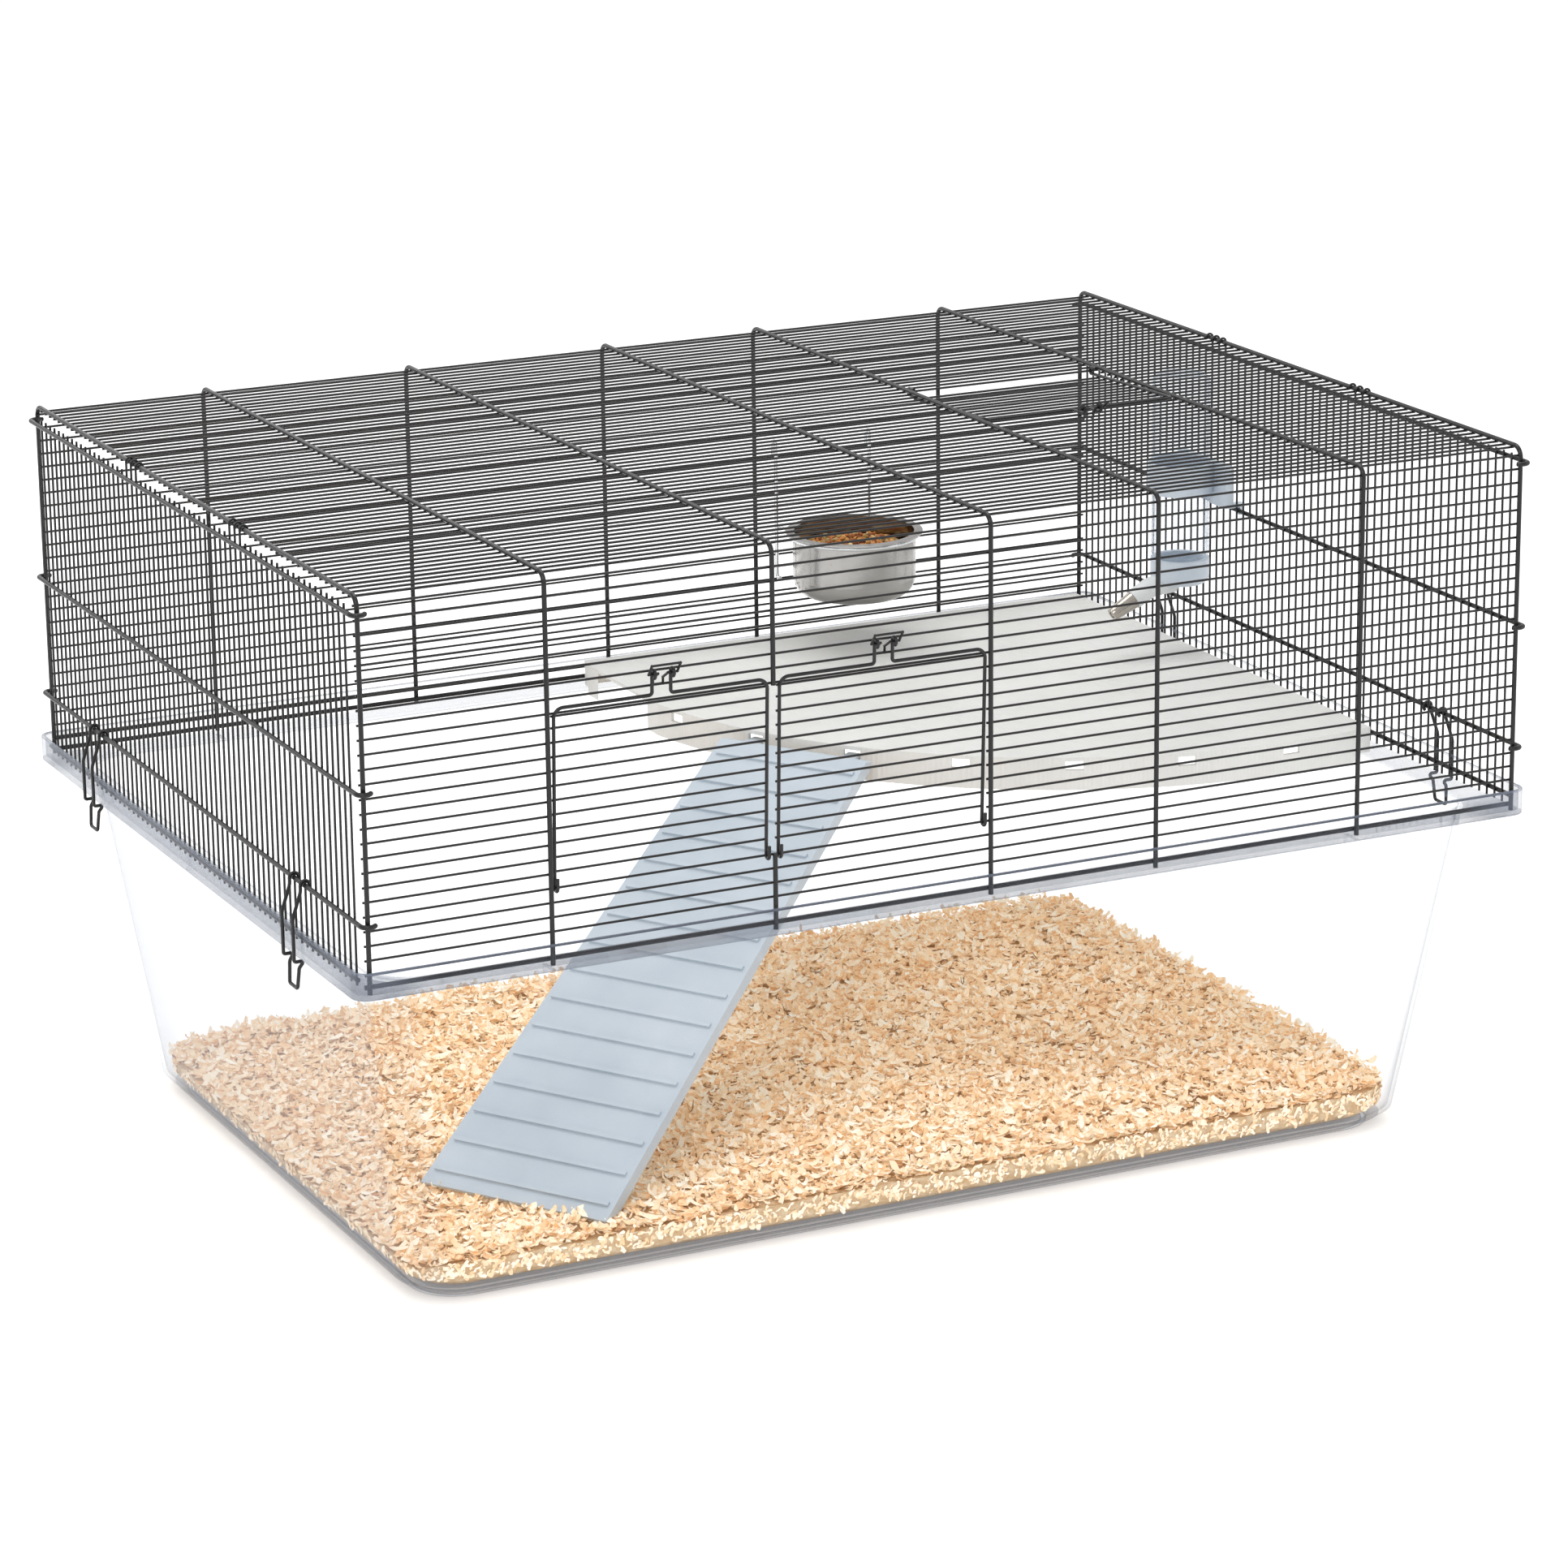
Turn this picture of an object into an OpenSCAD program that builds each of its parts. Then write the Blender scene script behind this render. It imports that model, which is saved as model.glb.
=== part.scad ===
// Hamster cage: a wire top with three wire doors that stands on a clear moulded tub, with a
// raised platform, a ribbed ramp, a food bowl in a hanging holder and a spouted water bottle.
// Millimetres. X runs along the cage, -Y is the front, and Z = 0 is what the tub stands on.

/* [Wire top] */
// Length between the centres of the end supports
top_l = 780; // [660:5:960]
// Width between the centres of the front and back supports
top_w = 566; // [460:2:700]
// Height of the roof supports above the tub's rim seat
top_h = 236.5; // [210:0.5:300]
// Width of each of the three bays that can hold a door
door_bay = 145; // [120:1:180]
// Diameter of the thick support and rail wires
post_d = 3; // [2.4:0.1:3.8]
// Diameter of the thin grille wires
bar_d = 1.5; // [1.2:0.1:2]
// Spacing of the grille wires
pitch = 8.8; // [7.6:0.1:11]
// Bend radius of the supports where they turn into the roof
post_bend = 7; // [5:0.5:12]
// How far welded wires sink into each other
weld = 0.3; // [0.2:0.05:0.5]
// Height of the lowest thin row above the rim seat
first_row = 11; // [9:0.5:14]

/* [Doors] */
// Diameter of a door's frame wire
door_d = 2.2; // [1.8:0.1:3]
// Diameter of a door's latch wire
latch_d = 1.6; // [1.2:0.1:1.6]
// Rows between a door's hinge row and its lintel row
door_rows = 12; // [9:1:14]
// Gap between a door's leg and the centre of the support beside it
door_side = 4; // [3.4:0.1:6]
// Width over the latch's finger loop
finger_w = 18.4; // [17:0.2:26]

/* [Tub] */
// Height of the rim seat above the foot
tub_h = 221.8; // [180:0.2:280]
// Rise of the rim's lip above the seat
lip_h = 14.2; // [10:0.2:20]
// Thickness of the rim's lip
lip_t = 2.5; // [2:0.1:4]
// Thickness of the flat rim under the wire top
flange_t = 2.5; // [2:0.1:4]
// Distance from the end supports out to the outside of the lip
end_margin = 10; // [9:0.5:16]
// Distance from the side supports out to the outside of the lip
side_margin = 5; // [4.6:0.1:10]
// Width of the rim outside the wall
rim_w = 22; // [18:1:30]
// How much narrower each wall is at the bottom than at the top
draft = 28; // [10:1:40]
// Thickness of the walls and the floor
wall_t = 2.6; // [2:0.1:4]
// Height of the foot ring
foot_h = 5; // [4:0.5:8]

/* [Platform] */
// Radius of the platform's curved front
deck_r = 337; // [300:1:350]
// Height of the deck's top above the rim seat
deck_z = 17; // [14:0.5:24]
// Depth of the skirt below the deck's top
skirt_h = 22; // [19:0.5:26]
// Thickness of the platform's sheet
deck_t = 2.5; // [2:0.1:3.4]
// Width of the slots that the ramp hooks into
slot_w = 12; // [11:0.5:16]

/* [Ramp] */
// Width of the ramp at its head
ramp_head_w = 112; // [100:1:130]
// Width of the ramp at its foot
ramp_foot_w = 138; // [120:1:150]
// Height of the ramp's foot above the floor it stands over
ramp_foot_z = 30; // [26:1:44]

/* [Food bowl] */
// Outer radius of the bowl's rim
bowl_rim_r = 48; // [44:0.5:50]
// Radius of the bowl's body
bowl_r = 43; // [38:0.5:43]
// Depth of the bowl
bowl_h = 46; // [36:1:60]
// Thickness of the bowl's sheet
bowl_t = 1; // [0.8:0.1:1.5]

/* [Water bottle] */
// Outer radius of the bottle
bottle_r = 20.2; // [18:0.2:22]
// Length of the bottle above its cap
bottle_h = 130; // [90:1:130]
// Thickness of the bottle's wall
bottle_t = 1.4; // [1:0.1:2]

/* [Hidden] */

// shared clearances
seat_gap = 0.2;    // between the wire top and the rim it stands on
clear = 0.3;       // between pieces that move, or that are lifted out
swell = 1.03;      // joints in a bent wire are a little fatter, so no two faces run tangent
knuckle = 1.1;     // beads at the sharp bends of a latch
draw = 0.94;       // a latch wire's thinner stretches

// wire top
half_l = top_l / 2;
half_w = top_w / 2;
seat_z = tub_h + seat_gap;
plain_bay = (top_l - 3 * door_bay) / 3;
bays = [plain_bay, door_bay, door_bay, plain_bay, door_bay, plain_bay];
function sum_to(list, n) = n <= 0 ? 0 : list[n - 1] + sum_to(list, n - 1);
support_x = [for (i = [0:len(bays)]) sum_to(bays, i) - half_l];
bow_leg = 12;                                  // straight end below a roof bow's bend
bow_foot = top_h - post_bend - bow_leg;        // where a post's top meets the bow's leg
thin_on_post = (post_d + bar_d) / 2 - weld;    // from a support's centre to a thin wire's
thick_on_post = post_d - weld;                 // and to a thick wire's
front_y = -half_w + thin_on_post;
back_y = half_w - thin_on_post;
roof_z = top_h - thin_on_post;
rows = floor((top_h - first_row - 4) / pitch) + 1;
function row_z(k) = first_row + k * pitch;
roof_side = floor((half_w - post_bend - 1) / pitch);   // roof rows on each side of the middle
hinge_row = 4;
lintel_row = hinge_row + door_rows;
latch_row = lintel_row + 1;
roof_hinge = door_rows / 2;                    // the roof door spans the middle of the roof
row_over = 2;                                  // thin rows run this far past the end supports
roof_over = 1.2;                               // roof rows stop short of the end bars' hooks
stub = 1.9;                                    // cut rows end this far past the support
sill_rail_z = 3.5;                             // thick bottom wire of the long sides

// end grilles
bar_x = half_l + post_d / 2 + bar_d / 2 + 0.2; // the bars stand just outside the end bow
rail_x = bar_x + thin_on_post;
bar_shift = 3.6;                               // the end bars' pattern is a little off centre
bars_side = floor((half_w - bar_shift - 3) / pitch);
function bar_y(j) = j * pitch + bar_shift;
function gap_y(j) = bar_y(j) + pitch / 2;      // middle of the gap after bar j
bar_foot = 2;
bar_head = row_z(rows - 1) - 1;
hooked = [-12, -11, -10, 9, 10, 11];           // bars that run up and hook over the end bow
bar_hook_r = bar_x - half_l;
foot_rail_z = 7.25;
low_rail_z = row_z(3.5);
mid_rail_z = row_z(12.5);
top_rail_z = row_z(rows - 1.5);
rail_hook_r = rail_x - half_l;
rail_inset = 7;                                // the bottom rail stops short of the lip's corner

// doors, in their own frame: the hinge row along X, Z towards the latch and -Y outwards
door_w = door_bay - 2 * door_side;
leg_y = (bar_d + door_d) / 2 + clear;          // the frame runs inside its hinge row
lean = asin(2 * leg_y / (door_rows * pitch));  // and outside its lintel row
door_top = door_rows * pitch + 3.4;
door_bar_y = leg_y + (door_d + bar_d) / 2 - weld;
door_bar_over = 1.4;
door_corner = 6;
tail = 6;                                      // the hinge hairpin's free end, on the outside
jog_x = 6;
eye_r = 2.4;
latch_row_z = (door_rows + 1) * pitch * cos(lean);
latch_row_y = (door_rows + 1) * pitch * sin(lean);
eye_z = latch_row_z + 8;
eye_y = leg_y - eye_r;
finger = [0, eye_y - 4.5, eye_z + 6.5];
tongue_x = 3.2;
catch_y = latch_row_y + (bar_d + latch_d) / 2 + 0.7;

// tub, as distances in from the outside of its lip
tub_x = half_l + end_margin;
tub_y = half_w + side_margin;
bevel_z = foot_h + 7;                          // top of the bevel round the bottom
bevel_w = 8;
foot_in = rim_w + draft + 13;
foot_t = 4;
lip_r = 10;
wall_top_r = 28;
wall_low_r = 34;
floor_z = foot_h + wall_t;
corner_steps = 8;

// platform
deck_x = half_l - 8;                           // right edge
deck_y = half_w - 11;                          // back edge
arc_x = deck_x - 60;                           // centre of the curved front
arc_y = deck_y - 68;
deck_left = deck_x - 392;
slot_h = 6;
slot_step = 12.65;
slot_start = 193.5;
slots = 7;
sill_z = deck_z - deck_t - slot_h;
skirt_clear = 1.5;                             // between the hanging skirt and the tub's wall

// ramp, hooked in the second and third slots
ramp_turn = slot_start + 1.5 * slot_step;
ramp_out = 11;                                 // its head starts this far outside the skirt
ramp_t = 2.4;
ramp_flange = 8;
ramp_head_z = deck_z - 4.5;
ramp_margin = 14;                              // between its near foot corner and the wall
ribs = 16;
tongue_w = 10;
tongue_t = 2;
tongue_lift = 0.6;
tongue_hook = 4.5;
wall_in_y = tub_y - rim_w - draft - wall_t;
ramp_reach = (arc_y + wall_in_y - ramp_margin - ramp_foot_w / 2 * abs(cos(ramp_turn)))
    / abs(sin(ramp_turn));
ramp_run = ramp_reach - deck_r - ramp_out;
ramp_drop = seat_z + ramp_head_z - ramp_foot_z;
ramp_slope = atan(ramp_drop / ramp_run);
ramp_len = ramp_run / cos(ramp_slope);
foot_x = arc_x + ramp_reach * cos(ramp_turn);
foot_y = arc_y + ramp_reach * sin(ramp_turn);

// bedding: a heap that fills the floor
bed_z = ramp_foot_z - 5;
bed_wave = 3;
bed_dip = 6;                                   // hollow under the ramp's foot
bed_dip_r = 110;
bed_rings = 10;
bed_gap = 1.6;                                 // between the litter and the tub's wall

// bowl and holder
bowl_x = half_l - 209;
bowl_y = back_y - bar_d / 2 - 2.3 - bowl_rim_r;
bowl_z = 51;
bowl_round = 14;
holder_d = 2.8;
holder_ring_r = bowl_r + clear + holder_d / 2 + 0.1;
holder_z = bowl_z + bowl_h - 1 - clear - holder_d / 2;
holder_arm = 36.65;
holder_y = back_y - bar_d / 2 - clear - holder_d / 2;
holder_hook_r = back_y - holder_y;
holder_row = lintel_row;
food_fill = 0.64;

// bottle
bottle_gap_low = 7;                            // the bracket's two hooks pass these end-bar gaps
bottle_gap_high = 14;
bottle_y = (gap_y(bottle_gap_low) + gap_y(bottle_gap_high)) / 2;
bottle_x = bar_x - bar_d / 2 - 3.3 - bottle_r;
cap_z = mid_rail_z - 55;
cap_h = 18;
cap_r = bottle_r + 0.2;
cap_t = 2.5;
cap_round = 6;
neck_r = 16;
neck_h = 8;                                    // it ends above the elbow's root
shoulder = 2.5;
collar_z = mid_rail_z + 10;
collar_h = 21;
collar_t = 2.5;
ear_w = 5;
ear_t = 3;
hook_drop = 5;
spout_slope = 28;
elbow_d = 14;
joint_x = bottle_x - 36.8;
joint_z = cap_z - 8.2;
spout_l = 19;
spout_r = 6.2;
spout_tip_r = 4.4;
ball_r = 3;
ball_bore = 3.4;
ball_seat = 2.4;
tip_t = 0.6;

function unit(v) = v / norm(v);

// Round wire from a to b.
module rod(a, b, d) {
    aim = unit(b - a);
    translate(a) rotate([0, acos(aim[2]), atan2(aim[1], aim[0])]) cylinder(d = d, h = norm(b - a), $fn = 48);
}

module bead(p, d) {
    translate(p) sphere(d = d * swell, $fn = 48);
}

// Part of a ring of wire: it starts at centre + r * start and first runs along aim.
module hoop(centre, start, aim, r, sweep, d) {
    side = cross(start, aim);
    multmatrix([[start[0], aim[0], side[0], centre[0]],
                [start[1], aim[1], side[1], centre[1]],
                [start[2], aim[2], side[2], centre[2]],
                [0, 0, 0, 1]])
        rotate_extrude(angle = sweep, $fn = 72) translate([r, 0]) circle(d = d, $fn = 48);
}

// A wire bent at each inner point of a route; bends gives one radius for each bend.
module wire(route, d, bends) {
    last = len(route) - 1;
    turn = [for (i = [1:1:last - 1])
        180 - acos(max(-1, min(1, unit(route[i - 1] - route[i]) * unit(route[i + 1] - route[i]))))];
    trim = [0, for (i = [1:1:last - 1]) bends[i - 1] * tan(turn[i - 1] / 2), 0];
    for (i = [0:last - 1]) {
        aim = unit(route[i + 1] - route[i]);
        start = route[i] + aim * trim[i];
        end = route[i + 1] - aim * trim[i + 1];
        rod(start, end, d);
        if (i > 0) bead(start, d);
        if (i < last - 1) bead(end, d);
    }
    for (i = [1:1:last - 1]) {
        a = unit(route[i - 1] - route[i]);
        b = unit(route[i + 1] - route[i]);
        r = bends[i - 1];
        centre = route[i] + unit(a + b) * (r / cos(turn[i - 1] / 2));
        hoop(centre, unit(route[i] + a * trim[i] - centre), -a, r, turn[i - 1], d);
    }
}

// A thin wire with sharp bends: each bend is a small bead, and every second stretch is
// drawn a little thinner there.
module bent(route, d) {
    last = len(route) - 1;
    for (i = [0:last - 1]) rod(route[i], route[i + 1], i % 2 == 0 ? d : d * draw);
    for (i = [1:last - 1]) translate(route[i]) sphere(d = d * knuckle, $fn = 48);
}

module on_seat() {
    translate([0, 0, seat_z]) children();
}

// ---- wire top ----

module front_posts() {
    color([0.13, 0.13, 0.14]) on_seat() for (i = [0:len(support_x) - 1]) {
        foot = [support_x[i], -half_w, 0];
        // the support between the two front doors is cut away across their opening
        if (i == 2) {
            rod(foot, foot + [0, 0, row_z(hinge_row) + 1], post_d);
            rod(foot + [0, 0, row_z(lintel_row) - 1], foot + [0, 0, bow_foot], post_d);
        } else rod(foot, foot + [0, 0, bow_foot], post_d);
    }
}

module roof_bows() {
    color([0.13, 0.13, 0.14]) on_seat() for (x = support_x)
        wire([[x, -half_w, bow_foot], [x, -half_w, top_h], [x, half_w, top_h], [x, half_w, bow_foot]],
            post_d, [post_bend, post_bend]);
}

module back_posts() {
    color([0.13, 0.13, 0.14]) on_seat() for (x = support_x)
        rod([x, half_w, 0], [x, half_w, bow_foot], post_d);
}

// A wire along X between two places at the same y and z.
module row(x0, x1, y, z, d) {
    rod([x0, y, z], [x1, y, z], d);
}

module front_wires() {
    end = half_l + row_over;
    color([0.15, 0.15, 0.16]) on_seat() {
        row(-end, end, -half_w + thick_on_post, sill_rail_z, post_d);
        for (k = [0:rows - 1]) {
            if (k > hinge_row && k < lintel_row) {
                row(-end, support_x[1] + stub, front_y, row_z(k), bar_d);
                row(support_x[3] - stub, end, front_y, row_z(k), bar_d);
            } else row(-end, end, front_y, row_z(k), bar_d);
        }
    }
}

module back_wires() {
    end = half_l + row_over;
    color([0.15, 0.15, 0.16]) on_seat() {
        row(-end, end, half_w - thick_on_post, sill_rail_z, post_d);
        row(-end, end, half_w - thick_on_post, row_z(0), post_d);
        for (k = [1:rows - 1]) row(-end, end, back_y, row_z(k), bar_d);
    }
}

module roof_wires() {
    end = half_l + roof_over;
    color([0.15, 0.15, 0.16]) on_seat() for (i = [-roof_side:roof_side]) {
        if (abs(i) < roof_hinge) {
            row(-end, support_x[4] + stub, i * pitch, roof_z, bar_d);
            row(support_x[5] - stub, end, i * pitch, roof_z, bar_d);
        } else row(-end, end, i * pitch, roof_z, bar_d);
    }
}

// The upright bars of the right end; the left end is its mirror image.
module end_bars() {
    color([0.15, 0.15, 0.16]) on_seat() for (j = [-bars_side:bars_side]) {
        if (len(search(j, hooked)) > 0) {
            rod([bar_x, bar_y(j), bar_foot], [bar_x, bar_y(j), top_h], bar_d);
            bead([bar_x, bar_y(j), top_h], bar_d);
            hoop([half_l, bar_y(j), top_h], [1, 0, 0], [0, 0, 1], bar_hook_r, 200, bar_d);
        } else rod([bar_x, bar_y(j), bar_foot], [bar_x, bar_y(j), bar_head], bar_d);
    }
}

// The thick rails of the right end; the upper three hook round the corner supports.
module end_rails() {
    color([0.13, 0.13, 0.14]) on_seat() {
        reach = half_w - rail_inset;
        rod([rail_x, -reach, foot_rail_z], [rail_x, reach, foot_rail_z], post_d);
        for (z = [low_rail_z, mid_rail_z, top_rail_z]) {
            rod([rail_x, -half_w, z], [rail_x, half_w, z], post_d);
            for (s = [-1, 1]) {
                bead([rail_x, s * half_w, z], post_d);
                hoop([half_l, s * half_w, z], [1, 0, 0], [0, s, 0], rail_hook_r, 150, post_d);
            }
        }
    }
}

module left_end_bars() mirror([1, 0, 0]) end_bars();
module right_end_bars() end_bars();
module left_end_rails() mirror([1, 0, 0]) end_rails();
module right_end_rails() end_rails();

// ---- doors ----

module door_frame() {
    color([0.13, 0.13, 0.14]) for (s = [-1, 1]) {
        x = s * door_w / 2;
        rod([x, -leg_y, tail], [x, -leg_y, 0], door_d);
        bead([x, -leg_y, 0], door_d);
        hoop([x, 0, 0], [0, -1, 0], [0, 0, -1], leg_y, 180, door_d);
        bead([x, leg_y, 0], door_d);
        wire([[x, leg_y, 0], [x, leg_y, door_top], [s * jog_x, leg_y, door_top], [s * jog_x, leg_y, eye_z]],
            door_d, [door_corner, 2]);
        bead([s * jog_x, leg_y, eye_z], door_d);
        hoop([s * jog_x, eye_y, eye_z], [0, 1, 0], [0, 0, 1], eye_r, 240, door_d);
    }
}

module door_bars() {
    reach = door_w / 2 + door_bar_over;
    color([0.15, 0.15, 0.16])
        for (z = [for (m = [1:door_rows - 1]) m * pitch, door_top - 5])
            rod([-reach, door_bar_y, z], [reach, door_bar_y, z], bar_d);
}

module door_latch() {
    leg = finger_w / 2;
    catch_z = latch_row_z - 0.6;
    over_z = latch_row_z + 3.3;
    // finger loop above, pins through the frame's eyes, and the catch behind the row below
    color([0.15, 0.15, 0.16])
        bent([[tongue_x - latch_d / 2 + 0.2, catch_y, catch_z], [-tongue_x, catch_y, catch_z],
            [-tongue_x, catch_y, over_z], [-tongue_x, eye_y, eye_z], [-leg, eye_y, eye_z],
            [-leg, finger[1], finger[2]], [leg, finger[1], finger[2]], [leg, eye_y, eye_z],
            [tongue_x, eye_y, eye_z], [tongue_x, catch_y, over_z],
            [tongue_x, catch_y, catch_z - latch_d / 2]], latch_d);
}

module on_front(bay) {
    middle = (support_x[bay] + support_x[bay + 1]) / 2;
    on_seat() translate([middle, front_y, row_z(hinge_row)]) rotate([lean, 0, 0]) children();
}

module on_roof(bay) {
    middle = (support_x[bay] + support_x[bay + 1]) / 2;
    on_seat() translate([middle, roof_hinge * pitch, roof_z]) rotate([-90, 0, 180])
        rotate([lean, 0, 0]) children();
}

module left_door_frame() on_front(1) door_frame();
module left_door_bars() on_front(1) door_bars();
module left_door_latch() on_front(1) door_latch();
module right_door_frame() on_front(2) door_frame();
module right_door_bars() on_front(2) door_bars();
module right_door_latch() on_front(2) door_latch();
module roof_door_frame() on_roof(4) door_frame();
module roof_door_bars() on_roof(4) door_bars();
module roof_door_latch() on_roof(4) door_latch();

// ---- clips ----

clip_d = 2.2;
clip_ring_r = (post_d + clip_d) / 2 + clear;
clip_leg_x = tub_x + clip_d / 2 + 1.8;         // the legs pass outside the lip
clip_under_z = -seat_gap - flange_t - 0.7 - clip_d / 2;
clip_under_x = clip_leg_x - 6.4;               // and turn in under the rim
clip_tab = 6.5;

// One clip of the right end, hooked on the low rail through the gaps at both sides of gap j.
module clip(j) {
    x0 = rail_x + clip_ring_r;
    color([0.13, 0.13, 0.14]) on_seat() translate([0, gap_y(j), 0]) {
        for (s = [-1, 1]) {
            bead([x0, s * pitch, low_rail_z], clip_d);
            hoop([rail_x, s * pitch, low_rail_z], [1, 0, 0], [0, 0, 1], clip_ring_r, 230, clip_d);
        }
        half = [[x0, pitch, low_rail_z], [x0, pitch, low_rail_z - 3.8], [clip_leg_x, pitch, low_rail_z - 19.8],
            [clip_leg_x, pitch, clip_under_z], [clip_under_x, pitch, clip_under_z],
            [clip_under_x + 3, pitch - 1, clip_under_z - 4.5], [clip_under_x + 4, clip_tab, clip_under_z - 17.5]];
        n = len(half);
        wire([for (p = half) p, for (i = [1:n]) [half[n - i][0], -half[n - i][1], half[n - i][2]]],
            clip_d, [10, 10, 1.3, 1.3, 3, 2, 2, 3, 1.3, 1.3, 10, 10]);
    }
}

module clip_left_front() mirror([1, 0, 0]) clip(-22);
module clip_left_rear() mirror([1, 0, 0]) clip(19);
module clip_right_front() clip(-22);
module clip_right_rear() clip(19);

// ---- tub and bedding ----

// Points of a rounded rectangle, anticlockwise, at one height.
function outline(hx, hy, r, z) = [for (c = [0:3], i = [0:corner_steps])
    let (sx = c == 0 || c == 3 ? 1 : -1, sy = c < 2 ? 1 : -1, a = 90 * (c + i / corner_steps))
    [sx * (hx - r) + r * cos(a), sy * (hy - r) + r * sin(a), z]];

// A closed solid swept through outlines that all have the same number of points.
module skin(loops) {
    n = len(loops[0]);
    last = (len(loops) - 1) * n;
    polyhedron(
        points = [for (loop = loops) each loop],
        faces = [[for (i = [n - 1:-1:0]) i],
            for (k = [0:len(loops) - 2], i = [0:n - 1])
                each [[k * n + i, k * n + (i + 1) % n, (k + 1) * n + (i + 1) % n],
                      [k * n + i, (k + 1) * n + (i + 1) % n, (k + 1) * n + i]],
            [for (i = [0:n - 1]) last + i]]);
}

function tub_loop(inset, z, r) = outline(tub_x - inset, tub_y - inset, r, z);

module tub() {
    wall_in = rim_w + draft;
    lug_h = 7;
    color([0.86, 0.92, 0.97, 0.35]) {
        skin([
            tub_loop(wall_in + bevel_w + wall_t / 2, floor_z, wall_low_r - bevel_w / 2),
            tub_loop(wall_in + wall_t, bevel_z + 1, wall_low_r - wall_t),
            tub_loop(rim_w + wall_t, tub_h, wall_top_r - wall_t),
            tub_loop(lip_t, tub_h, lip_r - lip_t),
            tub_loop(lip_t, tub_h + lip_h, lip_r - lip_t),
            tub_loop(0, tub_h + lip_h, lip_r),
            tub_loop(0, tub_h - flange_t, lip_r),
            tub_loop(rim_w, tub_h - flange_t, wall_top_r),
            tub_loop(wall_in, bevel_z, wall_low_r),
            tub_loop(wall_in + bevel_w, foot_h, wall_low_r - bevel_w / 2),
            tub_loop(foot_in, foot_h, wall_low_r - bevel_w / 2),
            tub_loop(foot_in, 0, wall_low_r - bevel_w / 2),
            tub_loop(foot_in + foot_t, 0, wall_low_r - bevel_w),
            tub_loop(foot_in + foot_t, foot_h, wall_low_r - bevel_w)]);
        // small stacking lugs under the rim
        for (x = [support_x[1], support_x[5]], s = [-1, 1])
            translate([x, s * (tub_y - rim_w / 2), tub_h - flange_t - lug_h / 2 + 1])
                cube([3, rim_w - 8, lug_h + 2], center = true);
    }
}

function bed_inset(z) = rim_w + draft * (1 - (z - bevel_z) / (tub_h - flange_t - bevel_z)) + wall_t + bed_gap;
function bed_top(x, y) = bed_z + bed_wave * (sin(x * 0.9 + 40) * cos(y * 1.1) + 0.5 * sin(x * 2.3 - y * 1.7))
    - bed_dip * exp(-(pow(x - foot_x, 2) + pow(y - foot_y, 2)) / pow(bed_dip_r, 2));
function bed_loop(share) = [for (p = outline(tub_x - bed_inset(bed_z), tub_y - bed_inset(bed_z),
        wall_low_r - wall_t, 0))
    let (x = p[0] * share, y = p[1] * share) [x, y, bed_top(x, y)]];

module bedding() {
    under = bevel_w + wall_t / 2 + bed_gap;
    color([0.86, 0.76, 0.58])
        skin([
            for (i = [1:bed_rings]) bed_loop(i / bed_rings),
            tub_loop(bed_inset(bevel_z + 1), bevel_z + 1, wall_low_r - wall_t),
            tub_loop(rim_w + draft + under, floor_z + bed_gap / 2, wall_low_r - bevel_w / 2)]);
}

// ---- platform and ramp ----

// The deck's outline: the round front, cut by the straight right, back and left edges.
module deck_outline(inset) {
    intersection() {
        translate([arc_x, arc_y]) circle(r = deck_r - inset, $fn = 180);
        translate([deck_left, -half_w]) square([deck_x - inset - deck_left, half_w + deck_y - inset]);
    }
}

module at_slot(i) {
    translate([arc_x, arc_y, 0]) rotate([0, 0, slot_start + i * slot_step]) translate([deck_r, 0, 0])
        children();
}

module platform() {
    hang_x = tub_x - rim_w - wall_t - skirt_clear - 1;
    hang_y = tub_y - rim_w - wall_t - skirt_clear;
    color([0.80, 0.80, 0.77]) on_seat() difference() {
        translate([0, 0, deck_z - skirt_h]) linear_extrude(skirt_h) deck_outline(0);
        translate([0, 0, deck_z - skirt_h - 1]) linear_extrude(skirt_h - deck_t + 1) deck_outline(deck_t);
        // the skirt stands on the rim at the right and the back
        translate([hang_x, -half_w, deck_z - skirt_h - 1])
            cube([half_l, top_w, skirt_h - deck_z + 1 + seat_gap / 2]);
        translate([-half_l, hang_y, deck_z - skirt_h - 1])
            cube([top_l, half_w, skirt_h - deck_z + 1 + seat_gap / 2]);
        for (i = [0:slots - 1]) at_slot(i)
            translate([-deck_t - 2, -slot_w / 2, sill_z]) cube([deck_t + 4, slot_w, slot_h]);
    }
}

// The ramp's own frame: X runs down its slope and Z is square to its plate.
module on_ramp() {
    on_seat() translate([arc_x, arc_y, 0]) rotate([0, 0, ramp_turn])
        translate([deck_r + ramp_out, 0, ramp_head_z]) rotate([0, ramp_slope, 0]) children();
}

module ramp_outline() {
    polygon([[0, -ramp_head_w / 2], [ramp_len, -ramp_foot_w / 2], [ramp_len, ramp_foot_w / 2],
        [0, ramp_head_w / 2]]);
}

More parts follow.
